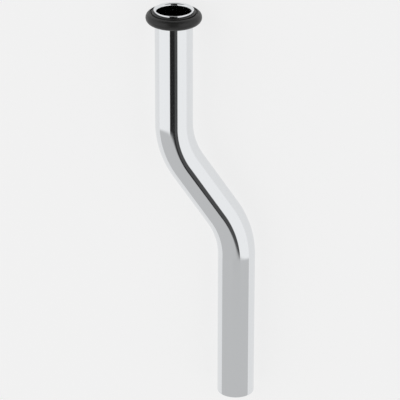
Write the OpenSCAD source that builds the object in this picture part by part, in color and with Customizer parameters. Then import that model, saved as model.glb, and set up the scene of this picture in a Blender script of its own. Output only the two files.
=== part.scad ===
// Cranked flush pipe for a urinal, with the rubber ring that seals its flared end.
// It lies at rest: both runs are level along Y, the inlet end at -Y and the valve end at +Y.
// All lengths are in millimetres and all angles in degrees.

/* [Tube] */
// Outer diameter of the tube
tube_od = 18; // [15:0.5:22]
// Wall thickness of the tube
tube_wall = 1; // [0.7:0.1:1.5]

/* [Crank] */
// Overall length from the inlet end to the top of the lip
pipe_length = 200; // [170:1:400]
// Sideways step from one run's axis to the other's
crank_offset = 30; // [20:1:60]
// Angle that each bend turns through
bend_angle = 34; // [28:1:46]
// Radius of each bend, measured on the tube's axis
bend_radius = 40; // [30:1:60]
// Straight run at the valve end, lip included
valve_run = 57; // [35:1:90]

/* [Lip] */
// How far the lip's edge stands out past the tube
lip_flare = 0.45; // [0.2:0.05:0.8]
// Length of the tube's end that is flared
lip_length = 1; // [0.8:0.1:1.6]
// Height of the lip's upright outer edge
lip_edge = 0.5; // [0.3:0.05:0.7]
// Radius that breaks the lip's two top edges
lip_round = 0.2; // [0.05:0.05:0.25]

/* [Inlet end] */
// Radius that breaks the outer edge of the cut end
inlet_round = 0.5; // [0.1:0.05:0.6]
// Bevel on the bore's edge at the cut end
inlet_bevel = 0.2; // [0.05:0.05:0.3]

/* [Sealing ring] */
// How far the ring's bulb stands out past the tube, all round
bulb_reach = 4.2; // [3.5:0.1:6]
// Diameter of the bulb's round section
bulb_d = 5.2; // [4.6:0.1:5.8]
// Depth of the bulb's centre below the ring's top
bulb_drop = 2.85; // [2.5:0.05:3.2]
// Thickness of the collar that bears on the lip, outside the tube
collar_wall = 1.3; // [0.9:0.1:1.5]
// Radius of the collar's outer top edge
collar_round = 0.4; // [0.1:0.05:0.6]
// Width of the groove between the collar and the bulb
groove_width = 1; // [0.6:0.1:1.2]
// Depth of the groove below the ring's top
groove_depth = 1.05; // [0.8:0.05:1.4]
// Clearance of the ring from the tube and from the lip's flare
ring_clearance = 0.05; // [0:0.01:0.2]

/* [Hidden] */
$fn = 96;

tube_r = tube_od / 2;
bore_r = tube_r - tube_wall;
lip_r = tube_r + lip_flare;
mouth_r = bore_r + lip_flare;
ring_r = tube_r + bulb_reach;
ring_bore_r = tube_r + ring_clearance;
bulb_r = bulb_d / 2;
collar_r = tube_r + collar_wall;
groove_r = groove_width / 2;

// Straight part of the slant: what the two bends leave of the sideways step
slant_run = (crank_offset - 2 * bend_radius * (1 - cos(bend_angle))) / sin(bend_angle);
crank_rise = 2 * bend_radius * sin(bend_angle) + slant_run * cos(bend_angle);
inlet_run = pipe_length - valve_run - crank_rise;

// At rest the inlet run and the ring both touch the surface, which rolls the crank a little
rest_roll = asin(bulb_reach / crank_offset);
inlet_x = (crank_offset * cos(rest_roll) + bulb_reach) / 2;

// Height of the ring's top above the inlet end, measured along the pipe
ring_top = pipe_length - lip_length - ring_clearance;

// How far a cut runs past its face, and how far each turned end runs into the bent tube
overrun = 1;
// The slant's ends taper by this much over this length inside the bends, so that all three join
seam_step = 0.002;
seam_lap = 0.04;

// Sets what is modelled along the inlet run's axis down on the surface, at rest
module at_rest() {
    translate([inlet_x, -pipe_length / 2, tube_r])
        rotate([0, rest_roll, 0])
            children();
}

// Turns a section drawn as [radius, height] about a run's axis, with heights along Y
module turned_about_run() {
    rotate([-90, 0, 0])
        rotate_extrude()
            children();
}

// Round bar along Y
module bar(radius, length) {
    rotate([-90, 0, 0])
        cylinder(r = radius, h = length);
}

// Round bar bent along an arc in the XY plane, about Z
module bent_bar(radius) {
    rotate_extrude(angle = bend_angle)
        translate([bend_radius, 0])
            circle(r = radius);
}

// Round bar along Y for the slant, with a short taper at each end that dives into a bend
module slant_bar(radius) {
    turned_about_run()
        polygon([
            [0, -seam_lap],
            [radius - seam_step, -seam_lap],
            [radius + seam_step, 0],
            [radius + seam_step, slant_run],
            [radius - seam_step, slant_run + seam_lap],
            [0, slant_run + seam_lap]
        ]);
}

// Round bar along the whole crank, from one height on the inlet run to another on the valve run
module crank_bar(radius, from, to) {
    slant_start = [-bend_radius * (1 - cos(bend_angle)), inlet_run + bend_radius * sin(bend_angle), 0];
    valve_start = inlet_run + crank_rise;
    translate([0, inlet_run, 0])
        rotate([0, 0, 180])
            bar(radius, inlet_run - from);
    translate([-bend_radius, inlet_run, 0])
        bent_bar(radius);
    translate(slant_start)
        rotate([0, 0, bend_angle])
            slant_bar(radius);
    translate([bend_radius - crank_offset, valve_start, 0])
        rotate([0, 0, 180])
            bent_bar(radius);
    translate([-crank_offset, valve_start, 0])
        bar(radius, to - valve_start);
}

// Wall of the tube at the lip, with height 0 at the lip's top
module lip_section() {
    polygon([
        [bore_r, -lip_length - overrun],
        [tube_r, -lip_length - overrun],
        [tube_r, -lip_length],
        [lip_r, -lip_edge],
        [lip_r, -lip_round],
        [mouth_r, -lip_round],
        [mouth_r, -lip_edge],
        [bore_r, -lip_length]
    ]);
    translate([mouth_r + lip_round, -2 * lip_round])
        square([tube_wall - 2 * lip_round, 2 * lip_round]);
    for (edge = [mouth_r + lip_round, lip_r - lip_round])
        translate([edge, -lip_round])
            circle(r = lip_round);
}

// Wall of the tube at the cut end, with height 0 at the end's face
module inlet_section() {
    polygon([
        [bore_r + inlet_bevel, 0],
        [tube_r - inlet_round, 0],
        [tube_r - inlet_round, inlet_round],
        [tube_r, inlet_round],
        [tube_r, inlet_round + overrun],
        [bore_r, inlet_round + overrun],
        [bore_r, inlet_bevel]
    ]);
    translate([tube_r - inlet_round, inlet_round])
        circle(r = inlet_round);
}

// Section of the ring, with height 0 at the ring's top
module ring_section() {
    difference() {
        union() {
            translate([ring_r - bulb_r, -bulb_drop])
                circle(r = bulb_r);
            translate([0, -bulb_drop])
                square([collar_r, bulb_drop - collar_round]);
            translate([0, -collar_round])
                square([collar_r - collar_round, collar_round]);
            translate([collar_r - collar_round, -collar_round])
                circle(r = collar_round);
        }
        translate([collar_r + groove_r, groove_r - groove_depth])
            circle(r = groove_r);
        translate([collar_r, groove_r - groove_depth])
            square([groove_width, groove_depth + overrun]);
        translate([-overrun, -2 * bulb_d])
            square([ring_bore_r + overrun, 3 * bulb_d]);
    }
}

// Tube: the bent wall and its two turned ends
module flush_pipe() {
    color("silver")
        at_rest() {
            difference() {
                crank_bar(tube_r, inlet_round, pipe_length - lip_length);
                crank_bar(bore_r, inlet_round - overrun, pipe_length - lip_length + overrun);
            }
            turned_about_run()
                inlet_section();
            translate([-crank_offset, pipe_length, 0])
                turned_about_run()
                    lip_section();
        }
}

// Rubber ring, pushed up the valve run until its collar meets the lip's flare
module sealing_ring() {
    color("dimgray")
        at_rest()
            translate([-crank_offset, ring_top, 0])
                turned_about_run()
                    ring_section();
}

flush_pipe();
sealing_ring();
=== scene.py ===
# Cranked flush pipe in chromed brass, lying on a white table with its rubber ring pushed up to the lip.
import math

import bpy
from mathutils import Matrix, Vector


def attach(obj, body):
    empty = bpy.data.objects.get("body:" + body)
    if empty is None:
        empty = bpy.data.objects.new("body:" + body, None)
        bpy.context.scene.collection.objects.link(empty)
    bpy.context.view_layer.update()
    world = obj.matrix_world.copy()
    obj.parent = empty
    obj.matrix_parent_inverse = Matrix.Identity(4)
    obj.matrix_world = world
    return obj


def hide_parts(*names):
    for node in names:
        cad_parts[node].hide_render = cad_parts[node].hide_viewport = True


mm = 0.001  # lengths below are in millimetres, angles in degrees
weldDistance = 0.002  # points this close are one point


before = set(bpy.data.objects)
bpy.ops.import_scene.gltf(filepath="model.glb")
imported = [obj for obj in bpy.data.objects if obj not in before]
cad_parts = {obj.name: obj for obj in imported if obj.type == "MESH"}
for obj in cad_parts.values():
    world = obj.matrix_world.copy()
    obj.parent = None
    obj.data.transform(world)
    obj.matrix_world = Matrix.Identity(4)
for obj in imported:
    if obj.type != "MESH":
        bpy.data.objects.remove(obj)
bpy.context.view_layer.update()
print("frame loaded:", sorted(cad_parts))


# Small helpers for meshes

def freshStart():
    if bpy.context.object and bpy.context.object.mode != "OBJECT":
        bpy.ops.object.mode_set(mode="OBJECT")
    bpy.ops.object.select_all(action="DESELECT")


def drawOn(step):  # carries the selected loop on by a step, leaving a wall behind it
    bpy.ops.mesh.extrude_region_move(TRANSFORM_OT_translate={"value": [part * mm for part in step]})


def turnOn(centre, angle, steps):  # carries the selected loop round a bend in the XY plane
    middle = [part * mm for part in centre]
    bpy.ops.mesh.spin(steps=steps, angle=math.radians(angle), center=middle, axis=(0, 0, -1))


def loopsThrough(profile, axisX, startY):  # profile: (radius, height) of each loop, the first already drawn
    for (radius, height), (nextRadius, nextHeight) in zip(profile, profile[1:]):
        drawOn((0, nextHeight - height, 0))
        scale = nextRadius / radius
        middle = (axisX * mm, (startY + nextHeight) * mm, 0)
        bpy.ops.transform.resize(value=(scale, 1, scale), center_override=middle)


def arcPoints(centre, radius, fromAngle, toAngle, steps):
    angles = [math.radians(fromAngle + (toAngle - fromAngle) * i / steps) for i in range(steps + 1)]
    return [(centre[0] + radius * math.cos(a), centre[1] + radius * math.sin(a)) for a in angles]


def closeAndTidy(name):  # the last loop has come back onto the first one
    bpy.ops.mesh.select_all(action="SELECT")
    bpy.ops.mesh.remove_doubles(threshold=weldDistance * mm)
    bpy.ops.mesh.normals_make_consistent(inside=False)
    bpy.ops.object.mode_set(mode="OBJECT")
    piece = bpy.context.object
    piece.name = name
    piece.data.name = name
    return piece


def finishSurface(piece, sharpAngle):
    freshStart()
    piece.select_set(True)
    bpy.context.view_layer.objects.active = piece
    bpy.ops.object.shade_smooth_by_angle(angle=math.radians(sharpAngle))
    weigh = piece.modifiers.new("weighNormals", "WEIGHTED_NORMAL")
    weigh.keep_sharp = True
    bpy.ops.object.modifier_apply(modifier=weigh.name)


# Small helpers for materials

def colourOf(code):  # sRGB hex to linear
    parts = [int(code[i:i + 2], 16) / 255 for i in (1, 3, 5)]
    linear = [p / 12.92 if p <= 0.04045 else ((p + 0.055) / 1.055) ** 2.4 for p in parts]
    return (*linear, 1.0)


def addNode(tree, kind, settings=None, links=None):
    node = tree.nodes.new(kind)
    for name, value in (settings or {}).items():
        if isinstance(name, str) and hasattr(node, name):
            setattr(node, name, value)
        else:
            node.inputs[name].default_value = value
    for name, socket in (links or {}).items():
        tree.links.new(socket, node.inputs[name])
    return node


def newMaterial(name):
    material = bpy.data.materials.new(name)
    material.use_nodes = True
    material.node_tree.nodes.clear()
    return material, material.node_tree


# How the pipe lies: its crank, and the step from its own axis to where it rests

crank = {
    "tubeRadius": 9.0, "wall": 1.0, "length": 200.0, "offset": 30.0,
    "bendAngle": 34.0, "bendRadius": 40.0, "valveRun": 57.0, "ringReach": 4.2,
}
boreRadius = crank["tubeRadius"] - crank["wall"]
bendCos = math.cos(math.radians(crank["bendAngle"]))
bendSin = math.sin(math.radians(crank["bendAngle"]))
slantRun = (crank["offset"] - 2 * crank["bendRadius"] * (1 - bendCos)) / bendSin
valveStart = crank["length"] - crank["valveRun"]
inletRun = valveStart - 2 * crank["bendRadius"] * bendSin - slantRun * bendCos
lowCentre = (-crank["bendRadius"], inletRun, 0)
highCentre = (crank["bendRadius"] - crank["offset"], valveStart, 0)
restRoll = math.asin(crank["ringReach"] / crank["offset"])
inletX = (crank["offset"] * math.cos(restRoll) + crank["ringReach"]) / 2
atRest = (
    Matrix.Translation(Vector((inletX, -crank["length"] / 2, crank["tubeRadius"])) * mm)
    @ Matrix.Rotation(restRoll, 4, "Y")
)


def layDown(piece):  # from along its own axis to where it lies, with the place kept in the mesh
    piece.data.transform(atRest)
    piece.data.update()


# The pipe

tube = {
    "around": 144, "bendSteps": 44, "lipSteps": 20, "edgeSteps": 5,
    "flare": 0.45, "rimRound": 0.1, "inletRound": 0.5, "inletBevel": 0.2, "sharpAngle": 32,
}


def alongCrank(steps):  # from the inlet run's bend to the valve run
    turnOn(lowCentre, crank["bendAngle"], steps)
    drawOn((-slantRun * bendSin, slantRun * bendCos, 0))
    turnOn(highCentre, -crank["bendAngle"], steps)


def backAlongCrank(steps):
    turnOn(highCentre, crank["bendAngle"], steps)
    drawOn((slantRun * bendSin, -slantRun * bendCos, 0))
    turnOn(lowCentre, -crank["bendAngle"], steps)


# The tube's wall turned outwards about one centre: (radius, height) with the lip's top at 0
def lipProfile():
    edge = tube["rimRound"]
    rimR = crank["tubeRadius"] + tube["flare"] - edge
    mouthTurn = rimR - boreRadius
    under = arcPoints((rimR, -mouthTurn), rimR - crank["tubeRadius"], 180, 90, tube["lipSteps"] // 2)
    lowEdge = arcPoints((rimR, edge - crank["wall"]), edge, -90, 0, tube["edgeSteps"])
    topEdge = arcPoints((rimR, -edge), edge, 0, 90, tube["edgeSteps"])
    mouth = arcPoints((rimR, -mouthTurn), mouthTurn, 90, 180, tube["lipSteps"])
    return under + lowEdge[1:] + topEdge + mouth[1:]


def inletProfile():  # from the bore's bevel round to the outside, with the end's face at 0
    rounding = tube["inletRound"]
    centre = (crank["tubeRadius"] - rounding, rounding)
    bevel = [(boreRadius, tube["inletBevel"]), (boreRadius + tube["inletBevel"], 0)]
    return bevel + arcPoints(centre, rounding, -90, 0, 2 * tube["edgeSteps"])


def buildPipe():
    freshStart()
    lip = lipProfile()
    inlet = inletProfile()
    bpy.ops.mesh.primitive_circle_add(
        vertices=tube["around"], radius=crank["tubeRadius"] * mm, fill_type="NOTHING",
        location=(0, tube["inletRound"] * mm, 0), rotation=(math.radians(90), 0, 0),
    )
    bpy.ops.object.transform_apply(location=True, rotation=True, scale=True)
    bpy.ops.object.mode_set(mode="EDIT")
    bpy.ops.mesh.select_all(action="SELECT")
    drawOn((0, inletRun - tube["inletRound"], 0))
    alongCrank(tube["bendSteps"])
    drawOn((0, crank["valveRun"] + lip[0][1], 0))
    loopsThrough(lip, -crank["offset"], crank["length"])
    drawOn((0, -crank["valveRun"] - lip[-1][1], 0))
    backAlongCrank(tube["bendSteps"])
    drawOn((0, tube["inletBevel"] - inletRun, 0))
    loopsThrough(inlet, 0, 0)
    piece = closeAndTidy("cranked_tube")
    layDown(piece)
    finishSurface(piece, tube["sharpAngle"])
    return piece


pipe = buildPipe()
print("pipe built:", len(pipe.data.polygons), "faces")


# The sealing ring

seal = {
    "around": 144, "boreClearance": 0.05, "seatGap": 0.05, "reach": 4.2, "bulbRadius": 2.6, "bulbDrop": 2.85,
    "collarWall": 1.3, "grooveWidth": 1.0, "grooveDepth": 1.05,
    "bulbSteps": 56, "cornerSteps": 8, "sharpAngle": 40,
}


def ringProfile():  # (radius, height) with the ring's top at 0, from the bore's top round and back
    bore = crank["tubeRadius"] + seal["boreClearance"]
    bulbR = crank["tubeRadius"] + seal["reach"] - seal["bulbRadius"]
    bulbZ = -seal["bulbDrop"]
    collarR = crank["tubeRadius"] + seal["collarWall"]
    grooveR = seal["grooveWidth"] / 2
    seat = tube["flare"] - tube["rimRound"]
    farWall = collarR + seal["grooveWidth"]
    shoulder = math.degrees(math.acos((farWall - bulbR) / seal["bulbRadius"]))
    heel = 180 + math.degrees(math.acos((bulbR - bore) / seal["bulbRadius"]))
    seatCorner = arcPoints((bore + seat, -seat), seat, 180, 90, seal["cornerSteps"])
    outerCorner = arcPoints((collarR - seat, -seat), seat, 90, 0, seal["cornerSteps"])
    grooveCentre = (collarR + grooveR, grooveR - seal["grooveDepth"])
    groove = arcPoints(grooveCentre, grooveR, 180, 360, 2 * seal["cornerSteps"])
    bulb = arcPoints((bulbR, bulbZ), seal["bulbRadius"], shoulder, heel - 360, seal["bulbSteps"])
    return seatCorner + outerCorner + groove + bulb + [(bore, -seat)]


def buildRing():
    freshStart()
    profile = ringProfile()
    ringTop = crank["length"] - crank["wall"] - seal["seatGap"]
    start = (-crank["offset"] * mm, (ringTop + profile[0][1]) * mm, 0)
    bpy.ops.mesh.primitive_circle_add(
        vertices=seal["around"], radius=profile[0][0] * mm, fill_type="NOTHING",
        location=start, rotation=(math.radians(90), 0, 0),
    )
    bpy.ops.object.transform_apply(location=True, rotation=True, scale=True)
    bpy.ops.object.mode_set(mode="EDIT")
    bpy.ops.mesh.select_all(action="SELECT")
    loopsThrough(profile, -crank["offset"], ringTop)
    piece = closeAndTidy("rubber_ring")
    layDown(piece)
    finishSurface(piece, seal["sharpAngle"])
    return piece


ring = buildRing()
print("ring built:", len(ring.data.polygons), "faces")


# Materials

def chromedTube():  # bright chrome on drawn brass: a hard mirror that shows the tent as long bands
    material, tree = newMaterial("chromedBrassTube")
    shader = addNode(tree, "ShaderNodeBsdfPrincipled", {
        "Base Color": colourOf("#e6e8ea"), "Metallic": 1.0, "Roughness": 0.05,
    })
    addNode(tree, "ShaderNodeOutputMaterial", {}, {"Surface": shader.outputs["BSDF"]})
    return material


def mouldedRubber():  # moulded black rubber: near black with a broad soft sheen
    material, tree = newMaterial("mouldedRubber")
    shader = addNode(tree, "ShaderNodeBsdfPrincipled", {
        "Base Color": colourOf("#20201f"), "Roughness": 0.4, "Specular IOR Level": 0.5,
    })
    addNode(tree, "ShaderNodeOutputMaterial", {}, {"Surface": shader.outputs["BSDF"]})
    return material


pipe.data.materials.append(chromedTube())
ring.data.materials.append(mouldedRubber())
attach(pipe, "root")
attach(ring, "root")
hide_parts("flush_pipe")
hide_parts("sealing_ring")
print("materials on, pieces placed")


# The table

table = {"half": 3000.0, "drop": 0.02, "colour": "#f7f7f7", "shownWhite": 0.75}


def buildTable():
    freshStart()
    bpy.ops.mesh.primitive_plane_add(size=2 * table["half"] * mm, location=(0, 0, -table["drop"] * mm))
    plane = bpy.context.object
    plane.name = "white_table"
    material, tree = newMaterial("whiteLaminate")
    path = addNode(tree, "ShaderNodeLightPath")
    seen = path.outputs["Is Camera Ray"]
    for ray in ("Is Glossy Ray", "Is Transmission Ray"):
        total = addNode(tree, "ShaderNodeMath", {"operation": "ADD"}, {0: seen, 1: path.outputs[ray]})
        seen = total.outputs[0]
    share = addNode(tree, "ShaderNodeMath", {"operation": "MULTIPLY", 1: table["shownWhite"]}, {0: seen})
    paint = addNode(tree, "ShaderNodeBsdfDiffuse", {"Color": colourOf(table["colour"])})
    white = addNode(tree, "ShaderNodeEmission", {"Color": (1, 1, 1, 1), "Strength": 1.0})
    mix = addNode(tree, "ShaderNodeMixShader", {}, {
        0: share.outputs[0], 1: paint.outputs[0], 2: white.outputs[0],
    })
    addNode(tree, "ShaderNodeOutputMaterial", {}, {"Surface": mix.outputs[0]})
    plane.data.materials.append(material)


buildTable()


# The light

tent = {
    "white": 1.0, "panel": 0.6, "slot": 0.02, "slotSide": 0.08, "overhead": 0.05,
    "panelTop": -24.6, "panelSoft": 1.2,
    "slotLeft": -24.0, "slotRight": 5.0, "slotFar": 22.0, "slotSoft": 1.5,
    "overheadFrom": 46.0, "overheadSoft": 6.0,
}


def buildTent():  # a white light tent with a grey panel at the inlet end and a slot for the camera
    world = bpy.data.worlds.new("lightTent")
    bpy.context.scene.world = world
    world.use_nodes = True
    tree = world.node_tree
    tree.nodes.clear()
    place = addNode(tree, "ShaderNodeTexCoord")
    rolled = addNode(tree, "ShaderNodeVectorRotate", {
        "rotation_type": "Y_AXIS", "Angle": -restRoll,
    }, {"Vector": place.outputs["Generated"]})
    parts = addNode(tree, "ShaderNodeSeparateXYZ", {}, {0: rolled.outputs[0]})
    side = addNode(tree, "ShaderNodeMath", {"operation": "ARCTAN2"}, {
        0: parts.outputs["X"], 1: parts.outputs["Z"],
    })
    rise = addNode(tree, "ShaderNodeMath", {"operation": "ARCSINE"}, {0: parts.outputs["Y"]})

    def past(angle, at, soft):
        return addNode(tree, "ShaderNodeMapRange", {
            "interpolation_type": "SMOOTHSTEP",
            "From Min": math.radians(at - soft), "From Max": math.radians(at + soft),
            "To Min": 0.0, "To Max": 1.0,
        }, {"Value": angle.outputs[0]}).outputs[0]

    def blend(share, below, above):
        node = addNode(tree, "ShaderNodeMix", {"data_type": "FLOAT"})
        tree.links.new(share, node.inputs[0])
        for index, value in ((2, below), (3, above)):
            if isinstance(value, float):
                node.inputs[index].default_value = value
            else:
                tree.links.new(value, node.inputs[index])
        return node.outputs[0]

    level = blend(past(side, tent["slotLeft"], tent["slotSoft"]), tent["white"], tent["slot"])
    level = blend(past(side, tent["slotRight"], tent["slotSoft"]), level, tent["slotSide"])
    level = blend(past(side, tent["slotFar"], tent["slotSoft"]), level, tent["white"])
    level = blend(past(rise, tent["overheadFrom"], tent["overheadSoft"]), level, tent["overhead"])
    level = blend(past(rise, tent["panelTop"], tent["panelSoft"]), tent["panel"], level)
    light = addNode(tree, "ShaderNodeBackground", {"Strength": 1.0}, {"Color": level})
    addNode(tree, "ShaderNodeOutputWorld", {}, {"Surface": light.outputs[0]})


buildTent()
print("table and light tent ready")


# The camera

view = {
    "focal": 261.75, "sensor": 36.0, "distance": 1392.0, "elevation": 24.566, "roll": 0.098,
    "aimSide": -17.67, "aimAlong": 102.59, "farClip": 20000.0,
}


def buildCamera():
    rise = math.radians(view["elevation"])
    roll = math.radians(view["roll"])
    aim = Vector((view["aimSide"], view["aimAlong"], 0))
    back = Vector((0, math.sin(rise), math.cos(rise)))
    right = Vector((1, 0, 0))
    up = back.cross(right)
    rolledRight = right * math.cos(roll) + up * math.sin(roll)
    rolledUp = up * math.cos(roll) - right * math.sin(roll)
    turn = Matrix((rolledRight, rolledUp, back)).transposed().to_4x4()
    data = bpy.data.cameras.new("photoView")
    data.lens = view["focal"]
    data.sensor_width = view["sensor"]
    data.clip_end = view["farClip"] * mm
    camera = bpy.data.objects.new("photoView", data)
    bpy.context.scene.collection.objects.link(camera)
    camera.matrix_world = atRest @ Matrix.Translation((aim + back * view["distance"]) * mm) @ turn
    bpy.context.scene.camera = camera


buildCamera()
bpy.context.scene.view_settings.view_transform = "Standard"
bpy.context.view_layer.update()
